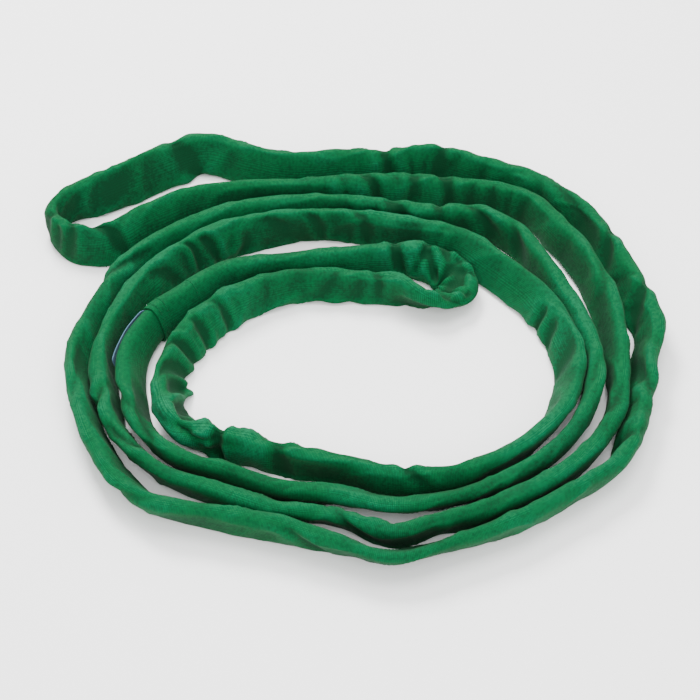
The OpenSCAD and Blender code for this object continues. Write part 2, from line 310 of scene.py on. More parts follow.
class Turn(Enum):
    """A side of the flattened section, in degrees from its top edge.

    The inward run has the coil's outside on its left; on the way back out the
    left of travel is the coil's inner side.
    """

    RIGHT = 90.0
    FLOOR = 180.0
    LEFT = 270.0


@dataclass(frozen=True)
class Gather:
    """A stretch of cross folds in the loose jacket, its pitch and depth in millimetres."""

    start: float
    end: float
    pitch: float
    depth: float
    turn: Turn
    spread: float
    slant: float


@dataclass(frozen=True)
class Crease:
    """One fold, its depth, reach and spread in millimetres: a groove where depth is under 0."""

    point: float
    turn: float
    depth: float
    reach: float
    spread: float
    slant: float


@dataclass
class Jacket:
    """The loose woven tube round the yarn, with its sleeve, gathers and creases."""

    strand: Strand
    ring_pitch: float = 4.6 * MM
    fine_pitch: float = 2.3 * MM
    sides: int = 42
    squareness: float = 2.6
    flute_length: float = 0.11
    flute_height: float = 1.9 * MM
    drag_length: float = 0.045
    cross_length: float = 0.017
    pucker_length: float = 0.007
    face_sag: float = 1.7 * MM
    sag_length: float = 0.09
    gather_fade: float = 1.2
    crease_bow: float = 0.18
    fold_unit: float = 2.5 * MM
    sewn_middle: float = 0.1
    sewn_half: float = 1.4
    sewn_fade: float = 0.8
    sewn_share: float = 0.2
    girth: float = 0.104
    deepest: float = 7.0 * MM
    floor_gap: float = 0.3 * MM
    floor_soft: float = 1.5 * MM
    hem_roll: float = 0.9 * MM
    hem_return: float = 14 * MM
    hem_rings: int = 7
    body: str = "sling"
    lengths: tuple[np.ndarray, np.ndarray] = field(init=False)

    def __post_init__(self) -> None:
        """Measures the strand once, for everything that is placed by length."""
        self.lengths = self.strand.length_table()

    def run_at(self, past: np.ndarray) -> np.ndarray:
        """Length along the jacket from the hem, in metres."""
        table_past, table_run = self.lengths
        return np.interp(past, table_past, table_run)

    def loop_run(self) -> float:
        """Length of the whole loop along the jacket's centreline."""
        return float(self.run_at(np.array(self.strand.points)))

    def folds(self, past: np.ndarray, turn: np.ndarray) -> np.ndarray:
        """How far the cloth stands out of the plain section, or is pushed in.

        Args:
            past: Points past the hem.
            turn: Angle round the section, in radians.

        Returns:
            Distances in metres, in the shape of past and turn.
        """
        loop = self.loop_run()
        run = self.run_at(np.where(past >= self.strand.points, past - self.strand.points, past))
        point = (self.strand.hem_point + past) % self.strand.points
        slack = self.slack_at(point)
        height = self.soft_waves(run, turn, slack)
        for gather in GATHERS:
            height += self.gather(gather, point, run, turn)
        for crease in CREASES:
            height += self.crease(crease, run, turn, loop)
        height = np.where(height < 0, self.deepest * np.tanh(height / self.deepest), height)
        near = np.abs(self.strand.from_hem(past) - self.sewn_middle)
        loose = ease((near - self.sewn_half) / self.sewn_fade)
        return height * (self.sewn_share + (1 - self.sewn_share) * loose)

    def slack_at(self, point: np.ndarray) -> np.ndarray:
        """How loose the jacket lies, from 0 to 1, by route point."""
        at, value = zip(*SLACK)
        return np.interp(point, at, value)

    def soft_waves(self, run: np.ndarray, turn: np.ndarray, slack: np.ndarray) -> np.ndarray:
        """Long flutes, slanting drag lines and small puckers that all loose cloth has."""
        flutes = LONG_NOISE(run / self.flute_length, turn + run * 2.0, 5) * self.flute_height
        drag = 1 - np.abs(DRAG_NOISE(run / self.drag_length + turn * 0.55, turn, 4))
        drag = (drag**4 - 0.25) * (1.2 + 2.0 * slack) * MM
        cross = CROSS_NOISE(run / self.cross_length, turn + run * 6.0, 5) * (0.4 + 1.4 * slack) * MM
        pucker = FINE_NOISE(run / self.pucker_length, turn, 14) * (0.15 + 0.3 * slack) * MM
        hollow = 1.0 + 0.7 * CROSS_NOISE(run / self.sag_length + 7, turn, 3)
        sag = self.face_sag * hollow * np.abs(np.sin(turn)) ** 3
        return flutes + drag + cross + pucker - sag

    def gather(self, gather: Gather, point: np.ndarray, run: np.ndarray,
               turn: np.ndarray) -> np.ndarray:
        """Rounded cross folds with sharp valleys, on one side of the strand."""
        fade = self.gather_fade
        window = ease((point - gather.start) / fade) * ease((gather.end - point) / fade)
        facing = turn - math.radians(gather.turn.value)
        apart = np.abs((facing + math.pi) % FULL_TURN - math.pi)
        around = np.cos(np.clip(apart / math.radians(gather.spread), 0, 1) * math.pi / 2) ** 1.2
        wander = (LONG_NOISE(run / 0.05 + 31, turn, 3) * 2.2
                  + CROSS_NOISE(run / 0.03 + 57, turn, 4) * 0.7)
        phase = run / (gather.pitch * MM) * math.pi + wander + math.radians(gather.slant) * facing
        puff = np.abs(np.sin(phase)) ** 0.6 - 0.66
        vary = np.clip(0.75 + 0.9 * LONG_NOISE(run / 0.04 + 11, turn, 4), 0.1, 1.5)
        return gather.depth * MM * puff * window * around * vary

    def crease(self, crease: Crease, run: np.ndarray, turn: np.ndarray,
               loop: float) -> np.ndarray:
        """One groove or ridge, straight on the cloth, with rounded shoulders."""
        past = (crease.point - self.strand.hem_point) % self.strand.points
        along = (run - self.run_at(np.array(past)) + loop / 2) % loop - loop / 2
        away = (turn - math.radians(crease.turn) + math.pi) % FULL_TURN - math.pi
        arc = away * self.girth / FULL_TURN
        slant = math.radians(crease.slant)
        length = along * math.cos(slant) + arc * math.sin(slant)
        across = -along * math.sin(slant) + arc * math.cos(slant)
        reach, spread = crease.reach * MM, crease.spread * MM
        bowed = across + self.crease_bow * length**2 / reach
        groove = np.exp(-np.abs(bowed / spread) ** 1.6)
        shoulder = 0.35 * np.exp(-((np.abs(bowed) - 1.9 * spread) / spread) ** 2)
        return crease.depth * MM * (groove - shoulder) * np.exp(-(length / reach) ** 4)

    def surface(self, past: np.ndarray, turn: np.ndarray,
                extra: np.ndarray | float = 0.0) -> tuple[np.ndarray, np.ndarray]:
        """Points on the cloth.

        Args:
            past: Points past the hem, one for each ring.
            turn: Angles round the section in radians, one for each side.
            extra: Extra growth of the section, one for each ring or one for all.

        Returns:
            Points (rings, sides, 3) and the folds' heights (rings, sides).
        """
        height = self.folds(*np.meshgrid(past, turn, indexing="ij"))
        grow = self.strand.growth(past) + extra
        return self.lifted(past, turn, height, grow), height

    def lifted(self, past: np.ndarray, turn: np.ndarray, lift: np.ndarray,
               grow: np.ndarray | float = 0.0) -> np.ndarray:
        """Points at a distance off the plain section.

        Args:
            past: Points past the hem, one for each ring.
            turn: Angles round the section in radians, one for each side.
            lift: Distances off the section, (rings, sides), in metres.
            grow: Growth of the section itself, one for each ring or one for all.

        Returns:
            Points (rings, sides, 3).
        """
        lie = broad(self.strand.lie(past))
        grow = np.broadcast_to(grow, past.shape)[:, None]
        a, b = lie.half_w + grow, lie.half_t + grow
        cos, sin = np.cos(turn)[None, :], np.sin(turn)[None, :]
        power = 2 / self.squareness
        u = a * np.sign(cos) * np.abs(cos) ** power
        v = b * np.sign(sin) * np.abs(sin) ** power
        nu, nv = u / a**2, v / b**2
        size = np.sqrt(nu**2 + nv**2)
        points = lie.place(u + nu / size * lift, v + nv / size * lift)
        points[..., 2] = self.rest_on_floor(points[..., 2])
        return points

    def rest_on_floor(self, z: np.ndarray) -> np.ndarray:
        """Flattens what would sink into the floor, with a soft shoulder."""
        soft, over = self.floor_soft, z - self.floor_gap
        eased = soft * np.exp(np.minimum(over / soft, 1) - 1)
        return self.floor_gap + np.where(over > soft, over, eased)

    def build(self) -> bpy.types.Object:
        """Makes the jacket's mesh.

        Returns:
            The jacket, with its UV map and fold attribute.
        """
        table_past, table_run = self.lengths
        slack = self.slack_at((self.strand.hem_point + table_past) % self.strand.points)
        pitch = self.ring_pitch + (self.fine_pitch - self.ring_pitch) * slack[1:]
        count = np.concatenate([[0.0], np.cumsum(np.diff(table_run) / pitch)])
        past = np.interp(np.linspace(0, count[-1], int(count[-1]) + 1), count, table_past)
        run = np.interp(past, table_past, table_run)
        turn = (np.arange(self.sides) + 0.5) * FULL_TURN / self.sides
        skin, height = self.surface(past, turn)
        hem_past, hem_extra = self.hem_profile()
        hem, hem_height = self.surface(hem_past, turn, extra=hem_extra)
        points = np.concatenate([hem, skin])
        height = np.concatenate([hem_height, height])
        runs = np.concatenate([np.interp(hem_past, table_past, table_run), run])
        obj = tube_object("woven_jacket", points, runs, self.girth)
        # Fold heights, which the cloth material turns into painted shade in the valleys and a painted
        # highlight on the ridges.
        write_attribute(obj, "fold", (height / self.fold_unit).ravel())
        return obj

    def hem_profile(self) -> tuple[np.ndarray, np.ndarray]:
        """The sleeve's edge, turned inside over itself.

        Returns:
            Places along the strand and the section's growth at each, from deep inside to the lip.
        """
        point_length = self.loop_run() / self.strand.points
        angle = np.linspace(-math.pi / 2, math.pi / 2, self.hem_rings)
        inside = np.array([self.hem_return, self.hem_return / 2, 2 * MM]) / point_length
        lip = -self.hem_roll * np.cos(angle) / point_length
        grow = self.hem_roll * (np.sin(angle) - 1)
        return (np.concatenate([inside, lip[:-1]]),
                np.concatenate([np.full(len(inside), -2 * self.hem_roll), grow[:-1]]))

    def centreline(self, pitch: float = 10 * MM) -> np.ndarray:
        """Points along the middle of the jacket."""
        table_past, table_run = self.lengths
        run = np.linspace(0, self.loop_run(), int(self.loop_run() / pitch))
        return self.strand.lie(np.interp(run, table_run, table_past)).centre


def broad(lie: Lie) -> Lie:
    """The same lie, shaped so that each place takes a row of points round the section."""
    return Lie(lie.centre[:, None], lie.side[:, None], lie.lean[:, None],
               lie.half_w[:, None], lie.half_t[:, None])


def tube_object(name: str, points: np.ndarray, runs: np.ndarray, girth: float,
                capped: bool = True) -> bpy.types.Object:
    """Makes a tube from rings of points.

    Args:
        name: The piece's name.
        points: Rings of points, (rings, sides, 3).
        runs: Length along the tube at each ring, for the UV map.
        girth: Length round the tube, for the UV map.
        capped: Whether the first and last rings are filled.

    Returns:
        The object, linked to the scene.
    """
    rings, sides, _ = points.shape
    index = np.arange(rings * sides).reshape(rings, sides)
    nxt = np.roll(index, -1, 1)
    quads = np.stack([index[:-1], index[1:], nxt[1:], nxt[:-1]], -1).reshape(-1, 4)
    caps = [index[0].tolist(), index[-1][::-1].tolist()] if capped else []
    faces = [*quads.tolist(), *caps]
    mesh = bpy.data.meshes.new(name)
    mesh.from_pydata(points.reshape(-1, 3).tolist(), [], faces)
    mesh.shade_smooth()
    uv = mesh.uv_layers.new(name="cloth")
    k = np.arange(sides)
    left, right = k * girth / sides, (k + 1) * girth / sides
    strip = np.stack([left, left, right, right], -1)
    strip = np.broadcast_to(strip, (rings - 1, sides, 4))
    along = np.stack([runs[:-1], runs[1:], runs[1:], runs[:-1]], -1)
    along = np.broadcast_to(along[:, None, :], (rings - 1, sides, 4))
    body = np.stack([along, strip], -1).reshape(-1, 2)
    ends = [np.stack([np.full(sides, runs[end]), left], -1) for end in ((0, -1) if capped else ())]
    uv.data.foreach_set("uv", np.concatenate([body, *ends]).astype(np.float32).ravel())
    obj = bpy.data.objects.new(name, mesh)
    bpy.context.scene.collection.objects.link(obj)
    mesh.update()
    return obj


def write_attribute(obj: bpy.types.Object, name: str, values: np.ndarray) -> None:
    """Stores one number for each vertex, for a material to read."""
    layer = obj.data.attributes.new(name, "FLOAT", "POINT")
    layer.data.foreach_set("value", values.astype(np.float32))


@dataclass
class Core:
    """The yarn inside: one bundle that runs three times round, side by side with itself."""

    jacket: Jacket
    turns: int = 3
    pitch: float = 11.6 * MM
    half_w: float = 5.2 * MM
    half_t: float = 3.6 * MM
    girth: float = 24.64 * MM
    shift_from: float = 4.0
    shift_to: float = 6.0
    ring_pitch: float = 9 * MM
    sides: int = 10
    clearance: float = 1.6 * MM
    tape_from: float = 4.5
    tape_to: float = 5.5
    tape_room: float = 0.7 * MM
    tape_wall: float = 0.6 * MM
    tape_sides: int = 24
    tape_rings: int = 9
    tape_pitch: float = 6 * MM
    tape_girth: float = 110 * MM

    def room(self, past: np.ndarray) -> np.ndarray:
        """How much narrower the core is kept where the jacket's folds press in, in metres."""
        turn = np.arange(16) * FULL_TURN / 16
        loop_past = past % self.jacket.strand.points
        height = self.jacket.folds(*np.meshgrid(loop_past, turn, indexing="ij"))
        return np.maximum(0.0, self.clearance - height.min(1))

    def slot(self, past: np.ndarray) -> np.ndarray:
        """Which place across the strand the bundle lies in, moving over by one in each turn."""
        turn = np.floor(past / self.jacket.strand.points)
        within = past - turn * self.jacket.strand.points
        shifted = ramp((within - self.shift_from) / (self.shift_to - self.shift_from))
        return turn + shifted - (self.turns + 1) / 2

    def stretch(self, past: np.ndarray, lie: Lie) -> tuple[np.ndarray, np.ndarray]:
        """How wide and how thick the core lies, as shares of the plain strand."""
        strand, room = self.jacket.strand, self.room(past)
        wide = (lie.half_w - room) / (strand.plain_width / 2)
        thick = (lie.half_t - room) / (strand.plain_thickness / 2)
        return wide[:, None], thick[:, None]

    def rings(self, past: np.ndarray) -> np.ndarray:
        """Rings of the bundle's skin, (places, sides, 3)."""
        lie = self.jacket.strand.lie(past)
        wide, thick = self.stretch(past, lie)
        angle = np.arange(self.sides) * FULL_TURN / self.sides
        across = wide * (self.slot(past)[:, None] * self.pitch + self.half_w * np.cos(angle))
        through = thick * self.half_t * np.sin(angle)
        return broad(lie).place(across, through)

    def build(self) -> bpy.types.Object:
        """Makes the yarn bundle."""
        strand = self.jacket.strand
        whole = strand.points * self.turns - (self.shift_to - self.shift_from)
        count = int(whole * self.jacket.loop_run() / strand.points / self.ring_pitch)
        past = self.shift_to + np.linspace(0, whole, count)
        runs = np.arange(count) * self.ring_pitch
        return tube_object("yarn_hank", self.rings(past), runs, self.girth)

    def tape(self) -> bpy.types.Object:
        """Makes the tape that binds the yarn's two ends."""
        past = np.linspace(self.tape_from, self.tape_to, self.tape_rings)
        lie = self.jacket.strand.lie(past)
        wide, thick = self.stretch(past, lie)
        angle = np.arange(self.tape_sides) * FULL_TURN / self.tape_sides
        layers = []
        for lift in (self.tape_room + self.tape_wall, self.tape_room):
            across = (wide * self.turns / 2 * self.pitch + lift) * np.cos(angle)
            through = (thick * self.half_t + lift) * np.sin(angle)
            layers.append(broad(lie).place(across, through))
        rings = np.concatenate([layers[0], layers[1][::-1], layers[0][:1]])
        runs = np.arange(len(rings)) * self.tape_pitch
        return tube_object("binding_tape", rings, runs, self.tape_girth, capped=False)


@dataclass
class Closure:
    """The thread that sews the sleeve down, in rows right round the strand."""

    jacket: Jacket
    body: str = "sling"
    stitch_length: float = 2.9 * MM
    stitch_width: float = 1.3 * MM
    rounding: float = 0.4 * MM
    lift: float = 0.1 * MM
    reach_turn: float = 0.03
    reach_past: float = 0.01
    hem_row: float = 0.14
    full_rows: tuple[float, ...] = (0.42, 1.3)
    stitches_around: int = 24
    label_low: float = 220.0
    label_high: float = 329.0
    label_spare: float = 0.1
    label_inset: float = 4.0
    label_stitches: int = 8

    def stitch(self) -> bpy.types.Object:
        """Models one stitch, a short rounded length of thread that lies along X."""
        bpy.ops.object.select_all(action="DESELECT")
        bpy.ops.mesh.primitive_cylinder_add(
            vertices=8, radius=self.stitch_width / 2, depth=self.stitch_length, location=(0, 0, 0))
        stitch = bpy.context.object
        bpy.ops.object.mode_set(mode="EDIT")
        bpy.ops.mesh.select_all(action="SELECT")
        bpy.ops.transform.rotate(value=math.pi / 2, orient_axis="Y")
        bpy.ops.transform.resize(value=(1.0, 1.0, 0.8))
        bpy.ops.object.mode_set(mode="OBJECT")
        bevel = stitch.modifiers.new("rounding", "BEVEL")
        bevel.width = self.rounding
        bevel.segments = 2
        bpy.ops.object.modifier_apply(modifier=bevel.name)
        stitch.data.shade_smooth()
        return stitch

    def seat(self, past: float, turn: float) -> Matrix:
        """Where one stitch lies: X round the strand and Z off the cloth.

        Args:
            past: Points past the hem.
            turn: Angle round the section, in radians.

        Returns:
            The stitch's transform.
        """
        nearby = np.array([-1, 0, 1])
        skin, _ = self.jacket.surface(past + self.reach_past * nearby, turn + self.reach_turn * nearby)
        here = Vector(skin[1, 1])
        across = Vector(skin[1, 2] - skin[1, 0]).normalized()
        along = Vector(skin[2, 1] - skin[0, 1]).normalized()
        off = along.cross(across).normalized()
        if off.dot(here - Vector(self.jacket.strand.lie(np.array([past])).centre[0])) < 0:
            off = -off
        side = off.cross(across).normalized()
        seat = Matrix((across, side, off)).transposed().to_4x4()
        seat.translation = here + off * self.lift
        return seat

    def sew(self, name: str, seats: list[Matrix]) -> bpy.types.Object:
        """Copies the stitch to each seat and joins the copies.

        Args:
            name: The piece's name.
            seats: One transform for each stitch.

        Returns:
            One object, at the origin.
        """
        first = self.stitch()
        first.name = name
        copies = [first]
        for _ in seats[1:]:
            copy = first.copy()
            copy.data = first.data.copy()
            bpy.context.scene.collection.objects.link(copy)
            copies.append(copy)
        for copy, seat in zip(copies, seats):
            copy.data.transform(seat)
        bpy.ops.object.select_all(action="DESELECT")
        for copy in copies:
            copy.select_set(True)
        bpy.context.view_layer.objects.active = first
        bpy.ops.object.join()
        first.data.uv_layers.active.name = "cloth"
        return first

    def closing_thread(self) -> bpy.types.Object:
        """Makes the green rows: two right round, and the hem's row where there is no label."""
        around = [(k + 0.5) * FULL_TURN / self.stitches_around for k in range(self.stitches_around)]
        seats = [self.seat(row, turn) for row in self.full_rows for turn in around]
        low, high = math.radians(self.label_low), math.radians(self.label_high)
        spare = self.label_spare
        seats += [self.seat(self.hem_row, turn) for turn in around
                  if not low - spare < turn < high + spare]
        return self.sew("closure_thread", seats)

    def label_thread(self) -> bpy.types.Object:
        """Makes the pale row that holds the label in the seam."""
        low, high = self.label_low + self.label_inset, self.label_high - self.label_inset
        turns = np.radians(np.linspace(low, high, self.label_stitches))
        return self.sew("label_thread", [self.seat(self.hem_row, float(turn)) for turn in turns])


@dataclass
class Label:
    """The limp identification label, sewn into the hem along one edge."""

    jacket: Jacket
    start: float = -1.3
    end: float = 0.3
    low: float = 218.0
    high: float = 331.0
    gap: float = 1.1 * MM
    thickness: float = 0.8 * MM
    margin_depth: float = 0.7 * MM
    wave: float = 0.5 * MM
    curl: float = 1.6 * MM
    flat: tuple[float, float] = (0.042, 0.084)
    rings: int = 34
    columns: int = 18

    def offset(self, past: np.ndarray, across: np.ndarray) -> np.ndarray:
        """How far the label's middle lies off the cloth: inside the sleeve, then over the edge.

        Args:
            past: Points past the hem.
            across: Place across the label, from 0 to 1.

        Returns:
            Distances in metres.
        """
        out = ease((0.05 - past) / 0.16)
        inside = -self.margin_depth - self.thickness
        wave = self.wave * np.sin(past * 4.1 + across * 3.0) * ease((-0.3 - past) / 0.5)
        curl = self.curl * ease((-0.75 - past) / 0.6) * (0.5 + across)
        return inside + out * (self.gap + self.thickness / 2 - inside) + wave + curl

    def build(self) -> bpy.types.Object:
        """Makes the label and its margin as one strip."""
        past = np.linspace(self.start, self.end, self.rings)
        across = np.linspace(0, 1, self.columns)
        turn = np.radians(self.low + (self.high - self.low) * across)
        middle = self.offset(past[:, None], across[None, :])
        outer, inner = (self.jacket.lifted(past, turn, middle + half * self.thickness)
                        for half in (0.5, -0.5))
        section = np.concatenate([outer, inner[:, ::-1]], 1)
        runs = (past - self.start) * self.jacket.loop_run() / self.jacket.strand.points
        return tube_object("label_strip", section, runs, 2 * self.flat[0])

    def bend_line(self) -> tuple[Vector, Vector]:
        """Two points on the label's middle, where it leaves the hem: one inside the seam, and one
        outside.
        """
        turn = np.radians([(self.low + self.high) / 2])
        skin = self.jacket.lifted(np.array([0.05, -0.2]), turn, np.full((2, 1), self.gap))
        return Vector(skin[0, 0]), Vector(skin[1, 0])


# Stretches that are pushed up into cross folds, on the side that the strand bends to
GATHERS: tuple[Gather, ...] = (
    Gather(0.5, 6.0, 46, 2.4, Turn.RIGHT, 100, 25),
    Gather(7.0, 12.5, 34, 2.6, Turn.RIGHT, 110, -15),
    Gather(13.0, 20.5, 40, 2.8, Turn.RIGHT, 110, 30),
    Gather(38.5, 44.5, 30, 2.6, Turn.RIGHT, 100, 15),
    Gather(62.5, 68.0, 24, 2.4, Turn.RIGHT, 90, 20),
    Gather(66.0, 73.0, 22, 4.4, Turn.RIGHT, 130, 20),
    Gather(68.0, 74.0, 30, 2.6, Turn.FLOOR, 100, 15),
    Gather(73.5, 78.5, 30, 3.0, Turn.LEFT, 100, 20),
    Gather(76.8, 81.0, 27, 5.6, Turn.LEFT, 115, -15),
    Gather(80.4, 84.6, 37, 4.0, Turn.LEFT, 170, 50),
    Gather(85.4, 93.5, 60, 1.4, Turn.LEFT, 110, 10),
    Gather(94.5, 102.6, 33, 3.8, Turn.LEFT, 105, 25),
    Gather(108.0, 113.0, 36, 2.4, Turn.LEFT, 90, -20),
    Gather(121.0, 127.0, 26, 3.8, Turn.LEFT, 110, 15),
    Gather(129.5, 134.9, 30, 3.4, Turn.LEFT, 110, 10),
)

# Single folds, listed one by one
CREASES: tuple[Crease, ...] = (
    Crease(3.5, 95, -4.5, 40, 9, 60),
    Crease(8.0, 70, -5.0, 26, 6, 75),
    Crease(9.2, 75, -5.0, 26, 6, -75),
    Crease(12.4, 60, -3.5, 45, 9, 20),
    Crease(13.4, 45, -3.5, 30, 7, 50),
    Crease(14.6, 80, -5.5, 40, 8, 45),
    Crease(16.4, 70, -4.5, 50, 8, -30),
    Crease(18.2, 85, -4.0, 36, 8, 50),
    Crease(24.5, 295, -3.5, 30, 6, 40),
    Crease(27.6, 310, -4.0, 34, 7, -35),
    Crease(30.4, 50, -3.0, 45, 8, 15),
    Crease(34.3, 40, -4.0, 40, 6, 20),
    Crease(40.2, 50, -6.0, 24, 8, 60),
    Crease(41.1, 5, -4.0, 20, 6, 90),
    Crease(42.0, 40, -5.0, 26, 7, 40),
    Crease(43.0, 60, -4.0, 24, 7, 40),
    Crease(46.4, 20, -3.0, 24, 8, 25),
    Crease(64.8, 60, -7.0, 24, 5.5, 75),
    Crease(65.6, 50, 3.5, 20, 9, 80),
    Crease(66.1, 65, -6.0, 18, 3.5, -65),
    Crease(66.6, 85, 3.0, 14, 4, -20),
    Crease(66.8, 100, -8.0, 18, 4.5, 40),
    Crease(67.4, 60, -6.0, 15, 3.5, 60),
    Crease(67.9, 85, -6.0, 18, 3.5, 85),
    Crease(68.5, 60, -5.0, 16, 3.5, -60),
    Crease(69.3, 90, -5.5, 24, 4, 15),
    Crease(70.1, 65, -5.0, 16, 3.5, 70),
    Crease(71.0, 50, -4.5, 22, 5, 60),
    Crease(73.7, 325, -3.5, 22, 5, 80),
    Crease(78.1, 280, -5.5, 24, 5.5, 80),
    Crease(78.8, 260, -6.0, 24, 5.5, 95),
    Crease(79.5, 275, -6.5, 26, 5.5, 75),
    Crease(80.3, 285, -6.0, 26, 5.5, 60),
    Crease(80.5, 195, 9.0, 16, 7, 80),
    Crease(80.7, 250, -6.5, 30, 4.5, 40),
    Crease(81.1, 270, 6.0, 40, 6, 38),
    Crease(81.5, 275, -8.0, 18, 7, 50),
    Crease(81.6, 60, 7.0, 50, 16, 10),
    Crease(82.1, 350, 5.0, 34, 6, -12),
    Crease(82.4, 40, -7.0, 22, 4.5, 25),
    Crease(82.55, 60, 3.5, 24, 5, 25),
    Crease(82.7, 85, -6.0, 20, 4.5, 30),
    Crease(82.6, 345, 4.5, 14, 8, 80),
    Crease(82.95, 60, -9.0, 26, 4.5, 85),
    Crease(83.5, 15, 4.0, 28, 15, 80),
    Crease(84.0, 60, -3.0, 22, 7, 80),
    Crease(55.9, 20, -4.0, 34, 7, 25),
    Crease(56.8, 330, -4.5, 26, 7, -35),
    Crease(86.3, 20, -4.0, 26, 6, 60),
    Crease(91.1, 275, -3.0, 30, 8, 35),
    Crease(91.9, 250, -5.0, 15, 6, 60),
    Crease(92.4, 240, -6.0, 14, 5, 95),
    Crease(96.9, 310, -4.5, 24, 6, 70),
    Crease(97.9, 285, -4.5, 17, 5, 60),
    Crease(98.8, 310, -4.5, 15, 7, 30),
    Crease(99.5, 250, -4.0, 14, 6, 120),
    Crease(100.2, 275, -6.5, 19, 5, 65),
    Crease(100.6, 290, -6.5, 16, 4, 75),
    Crease(101.4, 285, -4.0, 24, 6, 35),
    Crease(105.2, 30, -4.5, 30, 7, 35),
    Crease(106.4, 340, -4.0, 30, 7, -30),
    Crease(110.3, 55, -3.5, 30, 6, 40),
    Crease(116.4, 345, -3.0, 24, 8, 25),
    Crease(119.5, 340, -3.0, 24, 8, 30),
    Crease(123.7, 325, -5.0, 24, 6, 75),
    Crease(124.4, 300, -5.0, 22, 6, 100),
    Crease(125.3, 305, -5.0, 24, 6, 70),
    Crease(130.9, 310, -6.0, 34, 5.5, 50),
    Crease(131.9, 300, -5.0, 22, 5.5, 85),
    Crease(132.7, 300, -4.5, 20, 5, 95),
)


class NodeTree:
    """Small helper that adds and joins shader nodes."""

    def __init__(self, tree: bpy.types.NodeTree) -> None:
        """Keeps the tree that nodes go into."""
        self.tree = tree

    def add(self, kind: str, **values: object) -> bpy.types.Node:
        """Adds a node and sets its properties and sockets.

        Args:
            kind: The node's type, such as ShaderNodeMath.
            **values: Properties by name; a socket's value or source goes under in_NUMBER.

        Returns:
            The node.
        """
        node = self.tree.nodes.new(kind)
        for name, value in values.items():
            if not name.startswith("in_"):
                setattr(node, name, value)
        for name, value in values.items():
            if name.startswith("in_"):
                self.feed(node.inputs[int(name[3:])], value)
        return node

    def feed(self, socket: bpy.types.NodeSocket, value: object) -> None:
        """Joins a source to a socket, or sets the socket's own value."""
        if isinstance(value, bpy.types.NodeSocket):
            self.tree.links.new(value, socket)
        else:
            socket.default_value = value

    def math(self, operation: str, a: object, b: object = 0.0, c: object = 0.0) -> bpy.types.NodeSocket:
        """Result of a Math node."""
        node = self.add("ShaderNodeMath", operation=operation, in_0=a, in_1=b, in_2=c)
        return node.outputs[0]

    def mix(self, factor: object, a: object, b: object, blend: str = "MIX") -> bpy.types.NodeSocket:
        """Colour of a Mix node."""
        node = self.add("ShaderNodeMix", data_type="RGBA", blend_type=blend, in_0=factor, in_6=a, in_7=b)
        return node.outputs[2]

    def noise(self, vector: object, scale: float, detail: float = 3.0) -> bpy.types.NodeSocket:
        """Value of a Noise Texture."""
        node = self.add("ShaderNodeTexNoise", in_0=vector, in_2=scale, in_3=detail)
        return node.outputs[0]


def new_group(name: str, inputs: dict[str, tuple[str, object]],
              outputs: dict[str, str]) -> bpy.types.NodeTree:
    """Starts a shader node group.

    Args:
        name: The group's name.
        inputs: Socket type and default value by name.
        outputs: Socket type by name.

    Returns:
        The group, empty but for its sockets.
    """
    group = bpy.data.node_groups.new(name, "ShaderNodeTree")
    for label, (kind, value) in inputs.items():
        socket = group.interface.new_socket(label, in_out="INPUT", socket_type=kind)
        socket.default_value = value
    for label, kind in outputs.items():
        group.interface.new_socket(label, in_out="OUTPUT", socket_type=kind)
    return group


def weave_group() -> bpy.types.NodeTree:
    """Threads crossing at right angles on the piece's own UV map, with a stronger cross rib."""
    group = new_group(
        "Weave",
        {"Pitch": ("NodeSocketFloat", 1.5 * MM), "Rib": ("NodeSocketFloat", 0.6)},
        {"Height": "NodeSocketFloat", "Gap": "NodeSocketFloat"})
    tree = NodeTree(group)
    given = tree.add("NodeGroupInput")
    where = tree.add("ShaderNodeUVMap", uv_map="cloth").outputs[0]
    wander = tree.math("MULTIPLY", tree.noise(where, 60.0, 1.0), 0.8)
    split = tree.add("ShaderNodeSeparateXYZ", in_0=where)
    turns = tree.math("DIVIDE", math.pi, given.outputs[0])
    along = tree.math("ADD", tree.math("MULTIPLY", split.outputs[0], turns), wander)
    around = tree.math("ADD", tree.math("MULTIPLY", split.outputs[1], turns), wander)
    warp = tree.math("SINE", along)
    weft = tree.math("SINE", around)
    check = tree.math("MULTIPLY", warp, weft)
    rib = tree.math("ABSOLUTE", warp)
    height = tree.math("ADD", tree.math("MULTIPLY", rib, given.outputs[1]),
                       tree.math("MULTIPLY", check, 0.35))
    # Gap: the room between threads, where the material paints shade.
    gap = tree.math("SUBTRACT", 1.0, tree.math("MULTIPLY", rib, tree.math("ABSOLUTE", weft)))
    out = tree.add("NodeGroupOutput")
    tree.feed(out.inputs[0], height)
    tree.feed(out.inputs[1], tree.math("POWER", gap, 3.0))
    return group


